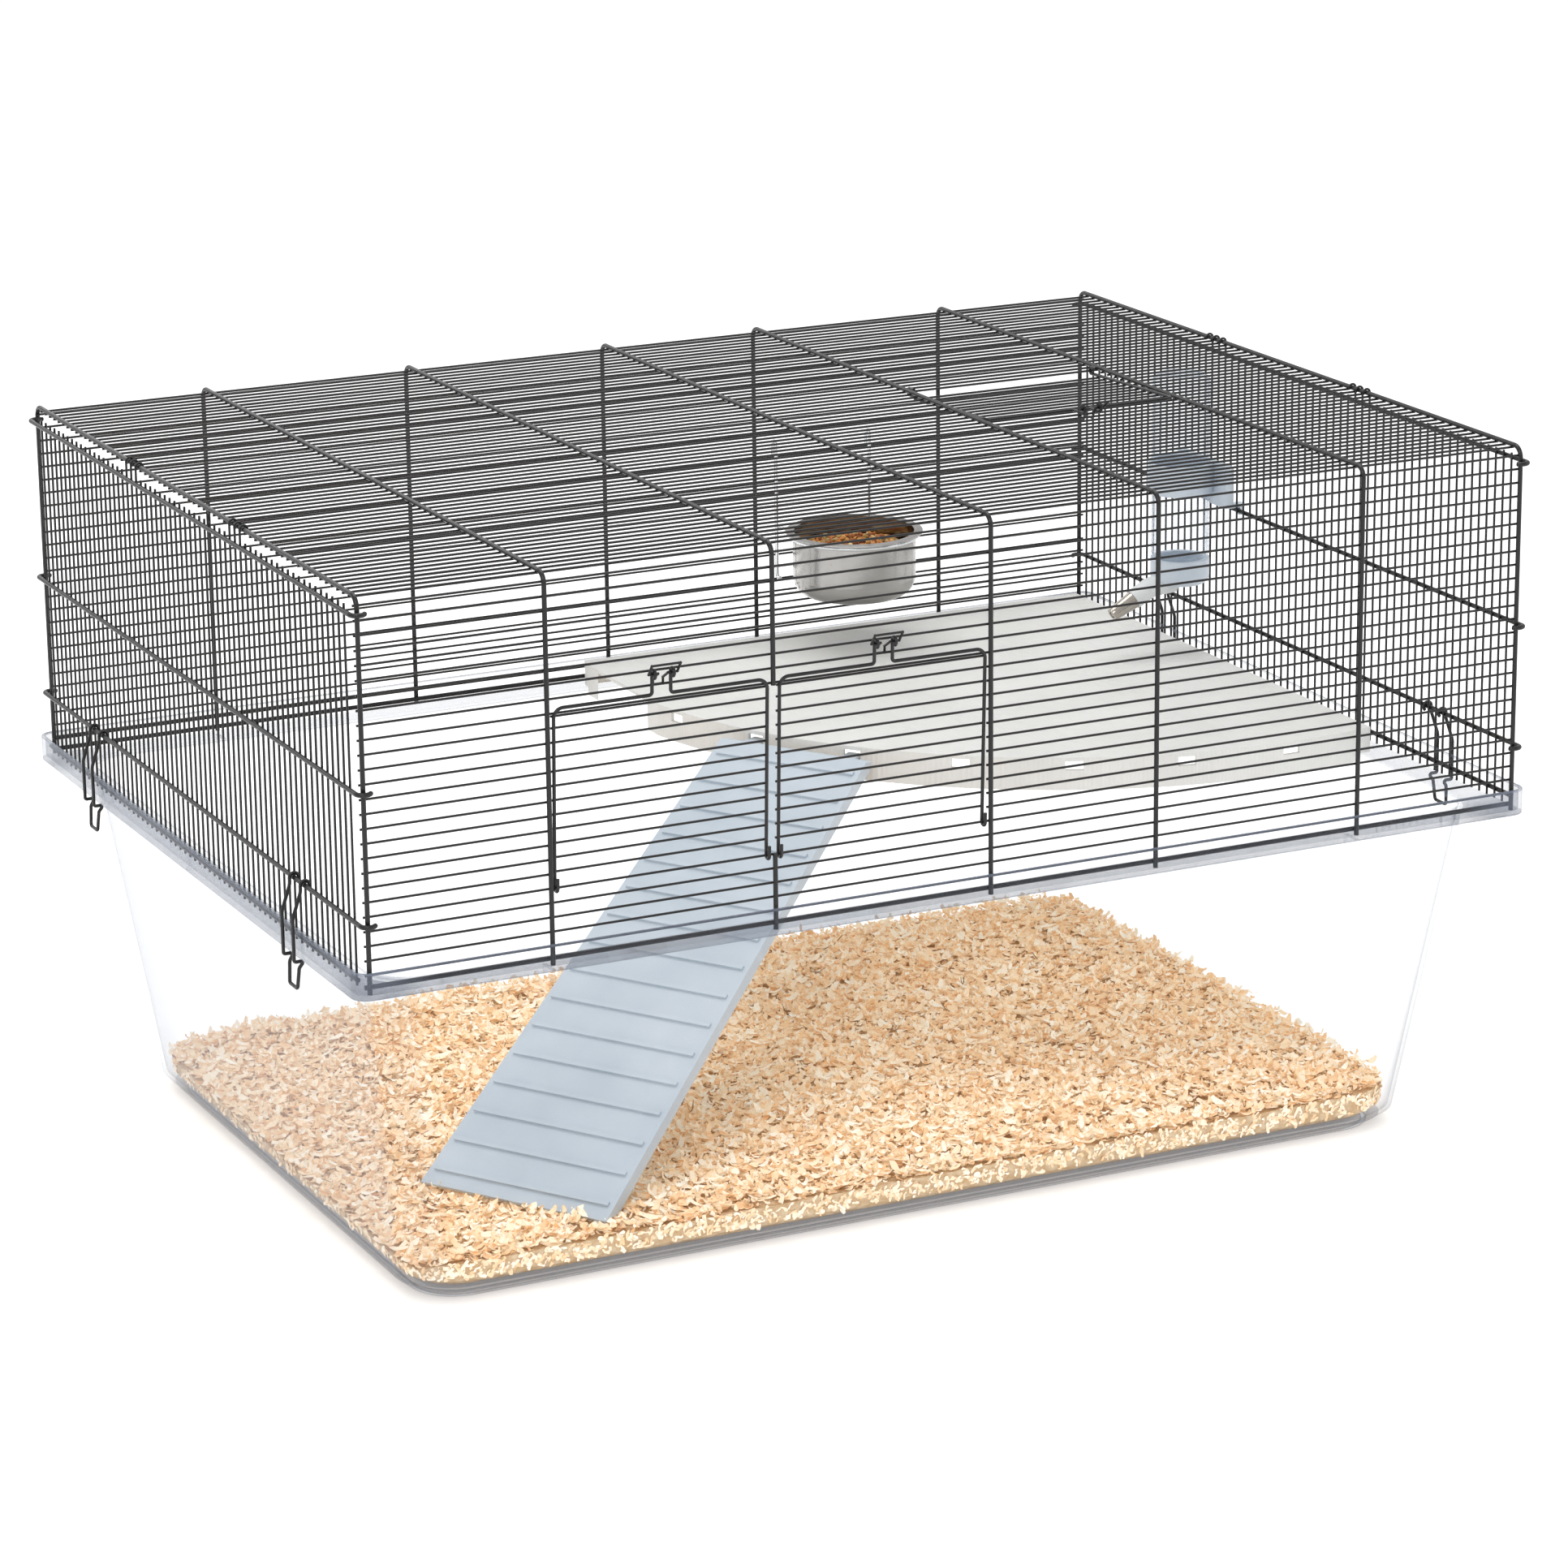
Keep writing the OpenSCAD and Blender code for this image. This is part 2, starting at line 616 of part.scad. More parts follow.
module ramp() {
    edge = ramp_t;
    color([0.66, 0.74, 0.80]) {
        on_ramp() {
            translate([0, 0, -ramp_t]) linear_extrude(ramp_t) ramp_outline();
            // side flanges, which run out at the foot
            for (s = [-1, 1]) {
                y0 = s > 0 ? ramp_head_w / 2 - edge : -ramp_head_w / 2;
                y1 = s > 0 ? ramp_foot_w / 2 - edge : -ramp_foot_w / 2;
                intersection() {
                    translate([0, 0, -ramp_flange]) linear_extrude(ramp_flange - 1)
                        polygon([[0, y0], [ramp_len, y1], [ramp_len, y1 + edge], [0, y0 + edge]]);
                    translate([0, ramp_foot_w, 0]) rotate([90, 0, 0]) linear_extrude(2 * ramp_foot_w)
                        polygon([[0, 1], [0, -ramp_flange], [ramp_len - ramp_flange / tan(ramp_slope),
                            -ramp_flange], [ramp_len - 1, -1], [ramp_len - 1, 1]]);
                }
            }
            // ribs to climb on
            for (i = [0:ribs - 1]) {
                x = (i + 0.5) * ramp_len / ribs;
                w = ramp_head_w + (ramp_foot_w - ramp_head_w) * x / ramp_len - 8;
                translate([x - 1.5, -w / 2, -1]) cube([3, w, 2.6]);
            }
        }
        // head plate and the two hooked tongues
        on_seat() translate([arc_x, arc_y, 0]) rotate([0, 0, ramp_turn]) {
            translate([deck_r + ramp_out - 6, -ramp_head_w / 2, ramp_head_z - ramp_t - 1.2])
                cube([8, ramp_head_w, ramp_t]);
        }
        on_seat() for (i = [1, 2]) at_slot(i) {
            z0 = sill_z + tongue_lift;
            translate([-deck_t - 1.2 - tongue_t, -tongue_w / 2, z0])
                cube([ramp_out + deck_t + 1.2 + tongue_t, tongue_w, tongue_t]);
            translate([-deck_t - 1.2 - tongue_t, -tongue_w / 2, z0 - tongue_hook + 1])
                cube([tongue_t, tongue_w, tongue_hook]);
        }
    }
}

// ---- food bowl ----

function round_profile(r, z, turn0, turn1, cx, steps) = [for (i = [0:steps])
    let (a = turn0 + (turn1 - turn0) * i / steps) [cx + r * cos(a), z + r * sin(a)]];

module food_bowl() {
    top = bowl_z + bowl_h;
    corner = bowl_r - bowl_round;
    color([0.80, 0.80, 0.80]) on_seat() translate([bowl_x, bowl_y, 0]) rotate_extrude($fn = 120)
        polygon([[0, bowl_z],
            each round_profile(bowl_round, bowl_z + bowl_round, -90, 0, corner, 8),
            [bowl_r, top - 1], [bowl_rim_r, top - 1], [bowl_rim_r, top], [bowl_r - bowl_t, top],
            each round_profile(bowl_round - bowl_t, bowl_z + bowl_round, 0, -90, corner, 8),
            [0, bowl_z + bowl_t]]);
}

module food() {
    depth = bowl_h * food_fill;
    gap = bowl_t + clear;
    corner = bowl_r - bowl_round;
    color([0.72, 0.42, 0.18]) on_seat() translate([bowl_x, bowl_y, 0]) rotate_extrude($fn = 96)
        polygon([[0, bowl_z + gap],
            each round_profile(bowl_round - gap, bowl_z + bowl_round, -90, 0, corner, 6),
            [bowl_r - gap, bowl_z + depth],
            [bowl_r * 0.7, bowl_z + depth + 5], [bowl_r * 0.35, bowl_z + depth + 8], [0, bowl_z + depth + 9]]);
}

module bowl_holder() {
    reach = sqrt(holder_ring_r * holder_ring_r - holder_arm * holder_arm);
    hook_z = row_z(holder_row);
    foot = bowl_z + 6;
    color([0.72, 0.73, 0.75]) on_seat() {
        hoop([bowl_x, bowl_y, holder_z], [1, 0, 0], [0, 1, 0], holder_ring_r, 360, holder_d);
        for (s = [-1, 1]) {
            x = bowl_x + s * holder_arm;
            rod([x, bowl_y + reach - 0.5, holder_z], [x, holder_y, holder_z], holder_d - 0.4);
            wire([[x, holder_y - 5, foot], [x, holder_y, foot], [x, holder_y, hook_z]], holder_d, [2.2]);
            bead([x, holder_y, hook_z], holder_d);
            hoop([x, back_y, hook_z], [0, -1, 0], [0, 0, 1], holder_hook_r, 180, holder_d);
            bead([x, back_y + holder_hook_r, hook_z], holder_d);
            rod([x, back_y + holder_hook_r, hook_z], [x, back_y + holder_hook_r, hook_z - 11], holder_d);
        }
    }
}

// ---- water bottle ----

module at_bottle() {
    on_seat() translate([bottle_x, bottle_y, 0]) children();
}

module bottle_body() {
    low = cap_z + cap_h + clear;
    top = cap_z + cap_h + bottle_h;
    t = bottle_t;
    color([0.88, 0.93, 0.96, 0.4]) at_bottle() rotate_extrude($fn = 96)
        polygon([[neck_r, low - neck_h], [neck_r, low], [bottle_r, low + shoulder],
            [bottle_r, top - 4], [bottle_r - 4, top], [0, top], [0, top - t], [bottle_r - 4 - t / 2, top - t],
            [bottle_r - t, top - 4 - t / 2], [bottle_r - t, low + shoulder + t], [neck_r - t, low + t],
            [neck_r - t, low - neck_h]]);
}

module bottle_cap() {
    color([0.71, 0.76, 0.82]) at_bottle() difference() {
        rotate_extrude($fn = 96)
            polygon([[0, cap_z], each round_profile(cap_round, cap_z + cap_round, -90, 0, cap_r - cap_round, 6),
                [cap_r, cap_z + cap_h], [neck_r + clear, cap_z + cap_h], [neck_r + clear, cap_z + cap_t],
                [0, cap_z + cap_t]]);
        translate([0, 0, cap_z - 1]) cylinder(r = ball_bore, h = cap_t + 2, $fn = 48);
    }
}

module bottle_bracket() {
    ear_x = rail_x - bottle_x;
    hook_z = mid_rail_z + post_d / 2 + clear;
    hook_x = ear_x + post_d / 2 + clear;
    span = gap_y(bottle_gap_high) - gap_y(bottle_gap_low);
    plate_back = bar_x - bottle_x - bar_d / 2 - 0.8;
    plate_t = 2;
    color([0.66, 0.72, 0.80]) at_bottle() {
        difference() {
            union() {
                translate([0, 0, collar_z]) cylinder(r = bottle_r + clear + collar_t, h = collar_h, $fn = 96);
                translate([plate_back - plate_t - 4, -span / 2 - ear_w / 2, hook_z])
                    cube([plate_t + 4, span + ear_w, collar_z + collar_h - hook_z]);
            }
            translate([0, 0, hook_z - 1]) cylinder(r = bottle_r + clear, h = collar_z + collar_h, $fn = 96);
            translate([plate_back, -span, hook_z - 1]) cube([20, 2 * span, collar_h + 20]);
        }
        for (s = [-1, 1]) translate([plate_back - 1, s * span / 2 - ear_w / 2, 0]) {
            translate([0, 0, hook_z]) cube([hook_x + ear_t - plate_back + 1, ear_w, ear_t]);
            translate([hook_x - plate_back + 1, 0, hook_z - hook_drop - clear])
                cube([ear_t, ear_w, hook_drop + clear + ear_t]);
        }
    }
}

// Frame of the spout: it starts at the elbow's mouth and Z points down the spout.
module on_spout() {
    on_seat() translate([joint_x, bottle_y, joint_z]) rotate([0, 180 + 90 - spout_slope, 0]) children();
}

module spout_elbow() {
    color([0.85, 0.86, 0.86]) on_seat() {
        mouth = [joint_x, bottle_y, joint_z];
        up = [cos(spout_slope), 0, sin(spout_slope)];
        wire([mouth, mouth + up * 16, [bottle_x - 5, bottle_y, cap_z + 0.5]], elbow_d, [12]);
    }
}

module spout_tube() {
    color([0.74, 0.70, 0.64]) on_spout() rotate_extrude($fn = 72)
        polygon([[ball_bore, 0], [spout_r, 0], [spout_tip_r + 0.4, spout_l - 2], [spout_tip_r, spout_l],
            [ball_seat, spout_l], [ball_seat, spout_l - tip_t], [ball_bore, spout_l - tip_t - 1]]);
}

module spout_ball() {
    sink = sqrt((ball_r + clear) * (ball_r + clear) - ball_seat * ball_seat);
    color([0.80, 0.80, 0.82]) on_spout() translate([0, 0, spout_l - tip_t - sink])
        sphere(r = ball_r, $fn = 64);
}

tub();
bedding();
front_posts();
roof_bows();
back_posts();
front_wires();
roof_wires();
back_wires();
left_end_bars();
right_end_bars();
left_end_rails();
right_end_rails();
left_door_frame();
left_door_bars();
left_door_latch();
right_door_frame();
right_door_bars();
right_door_latch();
roof_door_frame();
roof_door_bars();
roof_door_latch();
clip_left_front();
clip_left_rear();
clip_right_front();
clip_right_rear();
platform();
ramp();
food_bowl();
bowl_holder();
food();
bottle_body();
bottle_cap();
bottle_bracket();
spout_elbow();
spout_tube();
spout_ball();
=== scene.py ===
import math
import random

import bmesh
import bpy
from mathutils import Matrix, Vector, noise


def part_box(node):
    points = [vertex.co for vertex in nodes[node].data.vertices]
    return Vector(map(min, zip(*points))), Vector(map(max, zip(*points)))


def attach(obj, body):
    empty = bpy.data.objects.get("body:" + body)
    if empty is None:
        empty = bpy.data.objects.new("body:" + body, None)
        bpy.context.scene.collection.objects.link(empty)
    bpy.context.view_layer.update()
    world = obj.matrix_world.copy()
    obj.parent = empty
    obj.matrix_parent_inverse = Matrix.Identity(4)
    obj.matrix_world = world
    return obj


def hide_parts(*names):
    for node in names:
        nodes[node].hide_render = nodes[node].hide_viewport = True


MM = 0.001

# sizes of the cage's own pieces, in millimetres
TUB = dict(half_x=400, half_y=288, height=221.8, lip=14.2, lip_t=2.5, flange_t=2.5, rim=22, draft=28,
           wall=2.6, foot=5, foot_in=63, foot_t=4, bevel=12, bevel_w=8,
           lip_r=10, wall_top_r=28, wall_low_r=34, foot_r=30)
LUG = dict(x=275, y=277, z=215.8, size=(3, 14, 7))
BED = dict(half_x=348.4, half_y=236.4, radius=33, low=8.4, top=24.5)
INNER = (0.341, 0.229)  # half sides of the ground for the big shavings, clear of the walls, in metres
RAMP_FOOT = (-258, -166)
RAMP_BANK = (-292, -187)
BOTTLE = dict(radius=20.2, wall=1.2, neck=16, neck_h=8, rib=0.45, rib_step=8.2, dome=7)

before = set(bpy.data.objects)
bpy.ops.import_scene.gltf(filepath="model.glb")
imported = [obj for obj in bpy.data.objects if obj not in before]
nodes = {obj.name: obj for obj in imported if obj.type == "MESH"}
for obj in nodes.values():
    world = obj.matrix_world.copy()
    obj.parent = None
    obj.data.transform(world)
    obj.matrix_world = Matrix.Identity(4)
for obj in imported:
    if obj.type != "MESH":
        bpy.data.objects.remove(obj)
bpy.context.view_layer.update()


def srgb(red, green, blue):
    """A screen colour, 0 to 255, as the light values that shaders use."""
    return tuple(
        c / 12.92 if c <= 0.04045 else ((c + 0.055) / 1.055) ** 2.4
        for c in (red / 255, green / 255, blue / 255)
    ) + (1.0,)


# ---- camera, floor and lights ----


def place_camera():
    """A long lens in front of the cage, standing off towards its left end."""
    turn, tilt, roll = (math.radians(a) for a in (25.808, 16.545, -0.666))
    aim = Vector((math.sin(turn) * math.cos(tilt), math.cos(turn) * math.cos(tilt), -math.sin(tilt)))
    level = aim.cross(Vector((0, 0, 1))).normalized()
    rise = level.cross(aim)
    across = level * math.cos(roll) + rise * math.sin(roll)
    upward = rise * math.cos(roll) - level * math.sin(roll)
    lens = bpy.data.cameras.new("camera")
    lens.lens, lens.sensor_width, lens.sensor_height = 122.7, 36, 36
    lens.clip_start, lens.clip_end = 0.1, 50
    camera = bpy.data.objects.new("camera", lens)
    bpy.context.scene.collection.objects.link(camera)
    stand = Matrix.Translation((-1.44394, -3.01309, 1.21209))
    camera.matrix_world = stand @ Matrix((across, upward, -aim)).transposed().to_4x4()
    bpy.context.scene.camera = camera


def soft_light(name, place, size, power, target=(0, 0, 0.22)):
    lamp = bpy.data.lights.new(name, "AREA")
    lamp.shape, lamp.size, lamp.size_y, lamp.energy = "RECTANGLE", size[0], size[1], power
    light = bpy.data.objects.new(name, lamp)
    bpy.context.scene.collection.objects.link(light)
    light.location = place
    light.rotation_mode = "QUATERNION"
    light.rotation_quaternion = (Vector(target) - Vector(place)).to_track_quat("-Z", "Y")


def light_studio():
    soft_light("key_light", (-1.7, -2.0, 2.3), (1.6, 1.2), 30)
    soft_light("fill_light", (2.4, -1.6, 1.3), (1.4, 1.8), 11)
    soft_light("top_light", (0.1, 0.5, 2.6), (2.2, 1.3), 34)
    soft_light("back_light", (-0.4, 2.6, 1.4), (2.4, 1.0), 9)
    world = bpy.data.worlds.new("studio")
    world.use_nodes = True
    tree = world.node_tree
    tree.nodes.clear()
    glow, backdrop = tree.nodes.new("ShaderNodeBackground"), tree.nodes.new("ShaderNodeBackground")
    glow.inputs["Color"].default_value = (1, 1, 1, 1)
    glow.inputs["Strength"].default_value = 0.8
    backdrop.inputs["Color"].default_value = (1, 1, 1, 1)
    seen = tree.nodes.new("ShaderNodeLightPath")
    blend = tree.nodes.new("ShaderNodeMixShader")
    out = tree.nodes.new("ShaderNodeOutputWorld")
    tree.links.new(seen.outputs["Is Camera Ray"], blend.inputs[0])
    tree.links.new(glow.outputs[0], blend.inputs[1])
    tree.links.new(backdrop.outputs[0], blend.inputs[2])
    tree.links.new(blend.outputs[0], out.inputs["Surface"])
    bpy.context.scene.world = world
    bpy.context.scene.view_settings.view_transform = "Standard"
    bpy.context.scene.cycles.transparent_max_bounces = 32


# ---- node trees written as expressions ----


def pick(sockets, key):
    """A socket by its number, its identifier or its name."""
    if isinstance(key, int):
        return sockets[key]
    return next((s for s in sockets if s.identifier == key), None) or sockets[key]


class Port:
    """A socket's value. Adding, multiplying and so on adds the Math node that does it."""

    def __init__(self, tree, socket):
        self.tree, self.socket = tree, socket

    def sum(self, how, first, second=0.0):
        return self.tree.node("ShaderNodeMath", {"operation": how}, {0: first, 1: second})

    def __add__(self, other):
        return self.sum("ADD", self, other)

    def __radd__(self, other):
        return self.sum("ADD", other, self)

    def __sub__(self, other):
        return self.sum("SUBTRACT", self, other)

    def __rsub__(self, other):
        return self.sum("SUBTRACT", other, self)

    def __mul__(self, other):
        return self.sum("MULTIPLY", self, other)

    def __rmul__(self, other):
        return self.sum("MULTIPLY", other, self)

    def __truediv__(self, other):
        return self.sum("DIVIDE", self, other)

    def __rtruediv__(self, other):
        return self.sum("DIVIDE", other, self)

    def __pow__(self, other):
        return self.sum("POWER", self, other)

    def __gt__(self, other):
        return self.sum("GREATER_THAN", self, other)

    def __lt__(self, other):
        return self.sum("LESS_THAN", self, other)


class Tree:
    """A node tree and the one method that adds a node to it."""

    def __init__(self, nodes_of):
        self.nodes_of = nodes_of

    def node(self, kind, settings=None, values=None, give=0):
        made = self.nodes_of.nodes.new(kind)
        for key, value in (settings or {}).items():
            if key == "stops":
                ramp = made.color_ramp
                while len(ramp.elements) < len(value):
                    ramp.elements.new(1.0)
                for element, (place, colour) in zip(ramp.elements, value):
                    element.position, element.color = place, colour
            else:
                setattr(made, key, value)
        for key, value in (values or {}).items():
            socket = pick(made.inputs, key)
            if isinstance(value, Port):
                self.nodes_of.links.new(value.socket, socket)
            else:
                socket.default_value = value
        return Port(self, pick(made.outputs, give))

    def also(self, port, give):
        """Another output of the node that a port came from."""
        return Port(self, pick(port.socket.node.outputs, give))


class Finish(Tree):
    """A material, its colours and maps worked out from the place on the piece."""

    def __init__(self, name):
        self.material = bpy.data.materials.new(name)
        self.material.use_nodes = True
        super().__init__(self.material.node_tree)
        self.nodes_of.nodes.clear()
        self.place = self.node("ShaderNodeTexCoord", give="Object")

    def stretched(self, x, y, z):
        return self.node("ShaderNodeVectorMath", {"operation": "MULTIPLY"}, {0: self.place, 1: (x, y, z)})

    def grain(self, scale, detail=3.0, rough=0.5, at=None):
        """Soft noise from 0 to 1; scale is how many lumps there are in a metre."""
        return self.node("ShaderNodeTexNoise", None,
                         {"Vector": at or self.place, "Scale": scale, "Detail": detail, "Roughness": rough},
                         "Fac")

    def flecks(self, scale):
        """Distance from the middle of the nearest of many scattered cells."""
        return self.node("ShaderNodeTexVoronoi", {"feature": "F1"},
                         {"Vector": self.place, "Scale": scale}, "Distance")

    def axis(self, name):
        return self.node("ShaderNodeSeparateXYZ", None, {0: self.place}, name)

    def ramp(self, value, stops):
        return self.node("ShaderNodeValToRGB", {"stops": stops}, {"Fac": value}, "Color")

    def between(self, share, low, high):
        return self.node("ShaderNodeMix", {"data_type": "RGBA"},
                         {"Factor_Float": share, "A_Color": low, "B_Color": high}, "Result_Color")

    def step(self, value, low, high, start=0.0, end=1.0):
        return self.node("ShaderNodeMapRange", {"clamp": True},
                         {"Value": value, "From Min": low, "From Max": high, "To Min": start, "To Max": end})

    def bumps(self, height, strength, depth):
        return self.node("ShaderNodeBump", None,
                         {"Height": height, "Strength": strength, "Distance": depth}, "Normal")

    def surface(self, **values):
        """The main shader: base_color=..., roughness=... and so on."""
        named = {"ior": "IOR", "specular": "Specular IOR Level"}
        return self.node("ShaderNodeBsdfPrincipled", None,
                         {named.get(k, k.replace("_", " ").title()): v for k, v in values.items()})

    def done(self, shader):
        out = self.nodes_of.nodes.new("ShaderNodeOutputMaterial")
        self.nodes_of.links.new(shader.socket, out.inputs["Surface"])
        return self.material


# ---- finishes ----


def black_coating():
    """Dip-coated steel wire: glossy black with slight runs and dull patches."""
    f = Finish("black_coating")
    runs = f.grain(60, 4)
    fine = f.grain(900, 2)
    tone = f.between(runs, (0.006, 0.006, 0.007, 1), (0.014, 0.013, 0.013, 1))
    return f.done(f.surface(
        base_color=tone, roughness=0.3 + runs * 0.16, specular=0.32, coat_weight=0.12, coat_roughness=0.12,
        normal=f.bumps(fine + runs * 2, 0.25, 0.0004)))


def clear_moulding(name, tint, edge, least, most, steepness=4.0, haze=0.0, tint_and_shade_bands=(), corner=None):
    """Clear plastic: see-through face on, and turning to its edge colour as it turns away. The edge colour is
    painted shade, a grey-blue standing in for the lines that refraction draws where clear plastic turns away.
    Each band is (from height, to height, cover): a thick edge that carries more of the colour, partly the
    plastic's own tint seen through more of it and partly painted shade for the refraction lines along it.
    The corner is (where it starts along X, along Y, cover): the round upright corners of a box, given more
    painted shade for the refraction lines down them."""
    f = Finish(name)
    facing = f.node("ShaderNodeLayerWeight", None, {"Blend": 0.5}, "Facing")
    dust = f.grain(25, 5, 0.6)
    cover = facing ** steepness * (most - least) + least + f.step(dust, 0.55, 0.8) * haze
    height = f.axis("Z")
    # painted shade, partly the plastic's own tint: each band lays more of the grey-blue edge colour along rim
    # and foot
    for low, high, more in tint_and_shade_bands:
        cover = cover + (height > low) * (height < high) * more
    # painted shade down the round upright corners
    if corner:
        along, deep, more = corner
        past = [f.step(f.node("ShaderNodeMath", {"operation": "ABSOLUTE"}, {0: f.axis(name)}) - height * 0.135,
                       start, start + 0.028) for name, start in (("X", along), ("Y", deep))]
        cover = cover + past[0] * past[1] * more
    clear = f.node("ShaderNodeBsdfTransparent", None, {"Color": tint})
    # the gloss's grey-blue base colour is the painted edge shade, flecked with dust
    gloss = f.surface(base_color=f.between(dust, edge, tuple(min(1, c * 1.12) for c in edge)),
                      roughness=0.05 + dust * 0.06, ior=1.49)
    return f.done(f.node("ShaderNodeMixShader", None, {0: cover, 1: clear, 2: gloss}))


def wood_shaving():
    """Pine shavings: each has its own tone, with the wood's grain along it. They also glow faintly in that
    tone, a painted glow that lightens them where little light reaches inside the tub.
    """
    f = Finish("wood_shaving")
    shade = f.node("ShaderNodeAttribute", {"attribute_name": "shade"}, None, "Fac")
    patch = f.grain(30, 3)
    fibre = f.grain(420, 4, 0.7, f.stretched(1, 1.4, 1.2))
    tone = f.ramp(shade * 0.68 + patch * 0.16 + fibre * 0.2 + 0.06, [
        (0.00, srgb(178, 124, 78)), (0.14, srgb(228, 180, 130)), (0.30, srgb(247, 212, 168)),
        (0.55, srgb(254, 230, 196)), (0.80, srgb(255, 242, 220)), (1.0, srgb(255, 250, 236))])
    return f.done(f.surface(
        base_color=tone, roughness=0.62 + fibre * 0.2, specular=0.3,
        # painted glow: the shavings give off a little light in their own tone, standing in for light that the
        # roof wires and platform hold back
        emission_color=tone, emission_strength=0.1,
        normal=f.bumps(fibre, 0.5, 0.0006)))


def packed_litter():
    """The mass under the loose shavings, lumpy, with painted shade darkening the low gaps between its lumps.
    """
    f = Finish("packed_litter")
    lumps = f.flecks(150)
    fibre = f.grain(500, 5, 0.7)
    # painted shade: the low gaps between the lumps get a darker colour, where shade falls
    gap_shade = f.step(lumps, 0.15, 0.75)
    tone = f.between(gap_shade, srgb(253, 226, 190), srgb(226, 182, 132))
    return f.done(f.surface(
        base_color=f.between(fibre * 0.5, tone, srgb(244, 222, 182)), roughness=0.8,
        normal=f.bumps(fibre - lumps * 2, 0.8, 0.003)))


def dry_stalk():
    f = Finish("dry_stalk")
    fibre = f.grain(260, 4)
    return f.done(f.surface(
        base_color=f.between(fibre, srgb(86, 62, 40), srgb(150, 120, 82)), roughness=0.7,
        normal=f.bumps(fibre, 0.4, 0.0005)))


def moulded(name, low, high, rough, texture, depth, coarse=40):
    """Solid moulded plastic with a fine surface texture and faint flow marks."""
    f = Finish(name)
    flow = f.grain(coarse, 4, 0.55)
    fine = f.grain(texture, 2, 0.5)
    return f.done(f.surface(
        base_color=f.between(f.step(flow, 0.3, 0.7), low, high), roughness=rough + fine * 0.14,
        normal=f.bumps(fine + flow * 0.6, 0.3, depth)))


def platform_plastic():
    """Warm grey plastic with a small diamond grip pattern, worn smoother in patches."""
    f = Finish("platform_plastic")
    x, y = f.axis("X"), f.axis("Y")
    pitch = 2 * math.pi / 0.0052
    up = f.node("ShaderNodeMath", {"operation": "SINE"}, {0: (x + y) * pitch})
    down = f.node("ShaderNodeMath", {"operation": "SINE"}, {0: (x - y) * pitch})
    diamonds = up * down
    flow = f.grain(9, 4, 0.6)
    fine = f.grain(1400, 2)
    tone = f.between(f.step(flow, 0.3, 0.7), srgb(212, 212, 209), srgb(224, 224, 221))
    return f.done(f.surface(
        base_color=f.between(f.step(diamonds, 0.1, 0.9) * 0.10, tone, srgb(204, 204, 201)),
        roughness=0.42 + flow * 0.16, normal=f.bumps(diamonds * 0.5 + fine * 0.3, 0.35, 0.0007)))


def spun_steel():
    """Polished steel with the fine rings that spinning leaves."""
    f = Finish("spun_steel")
    rings = f.grain(1, 3, 0.6, f.stretched(20, 20, 1800))
    smear = f.grain(35, 4)
    return f.done(f.surface(
        base_color=f.between(smear, (0.26, 0.25, 0.24, 1), (0.50, 0.49, 0.47, 1)), metallic=1.0,
        roughness=0.10 + rings * 0.08 + smear * 0.06, normal=f.bumps(rings, 0.12, 0.0003)))


def bright_plating(name, colour, rough):
    f = Finish(name)
    drawn = f.grain(700, 3)
    cloud = f.grain(50, 4)
    return f.done(f.surface(
        base_color=f.between(cloud, colour, tuple(c * 0.82 for c in colour[:3]) + (1,)), metallic=1.0,
        roughness=rough + cloud * 0.08, normal=f.bumps(drawn, 0.1, 0.0002)))


def dry_food():
    """Mixed grains and biscuit pieces."""
    f = Finish("dry_food")
    shade = f.node("ShaderNodeAttribute", {"attribute_name": "shade"}, None, "Fac")
    crumb = f.grain(900, 4, 0.7)
    spots = f.grain(260, 3)
    tone = f.ramp(shade, [
        (0.0, srgb(122, 66, 28)), (0.25, srgb(176, 98, 40)), (0.45, srgb(214, 130, 52)),
        (0.65, srgb(226, 170, 92)), (0.82, srgb(150, 122, 58)), (1.0, srgb(236, 208, 150))])
    return f.done(f.surface(
        base_color=f.between(f.step(spots, 0.35, 0.75) * 0.45, tone, srgb(92, 50, 24)),
        roughness=0.6 + crumb * 0.25, normal=f.bumps(crumb, 0.7, 0.0012)))


def studio_floor():
    f = Finish("studio_floor")
    return f.done(f.surface(
        base_color=f.between(f.grain(2), (0.92, 0.92, 0.92, 1), (0.94, 0.94, 0.94, 1)), roughness=0.9,
        emission_color=(1, 1, 1, 1), emission_strength=0.24))


# ---- meshes ----


def add_mesh(name, mesh, material):
    piece = bpy.data.objects.new(name, mesh)
    bpy.context.scene.collection.objects.link(piece)
    mesh.materials.clear()
    mesh.materials.append(material)
    return piece


def smooth(mesh, angle):
    mesh.shade_smooth()
    mesh.set_sharp_from_angle(angle=math.radians(angle))


def outline(half_x, half_y, radius, z, steps):
    """Points of a rounded rectangle, anticlockwise, at one height, in millimetres."""
    points = []
    for corner in range(4):
        sx = 1 if corner in (0, 3) else -1
        sy = 1 if corner < 2 else -1
        for i in range(steps + 1):
            a = math.radians(90 * (corner + i / steps))
            points.append((sx * (half_x - radius) + radius * math.cos(a),
                           sy * (half_y - radius) + radius * math.sin(a), z))
    return points


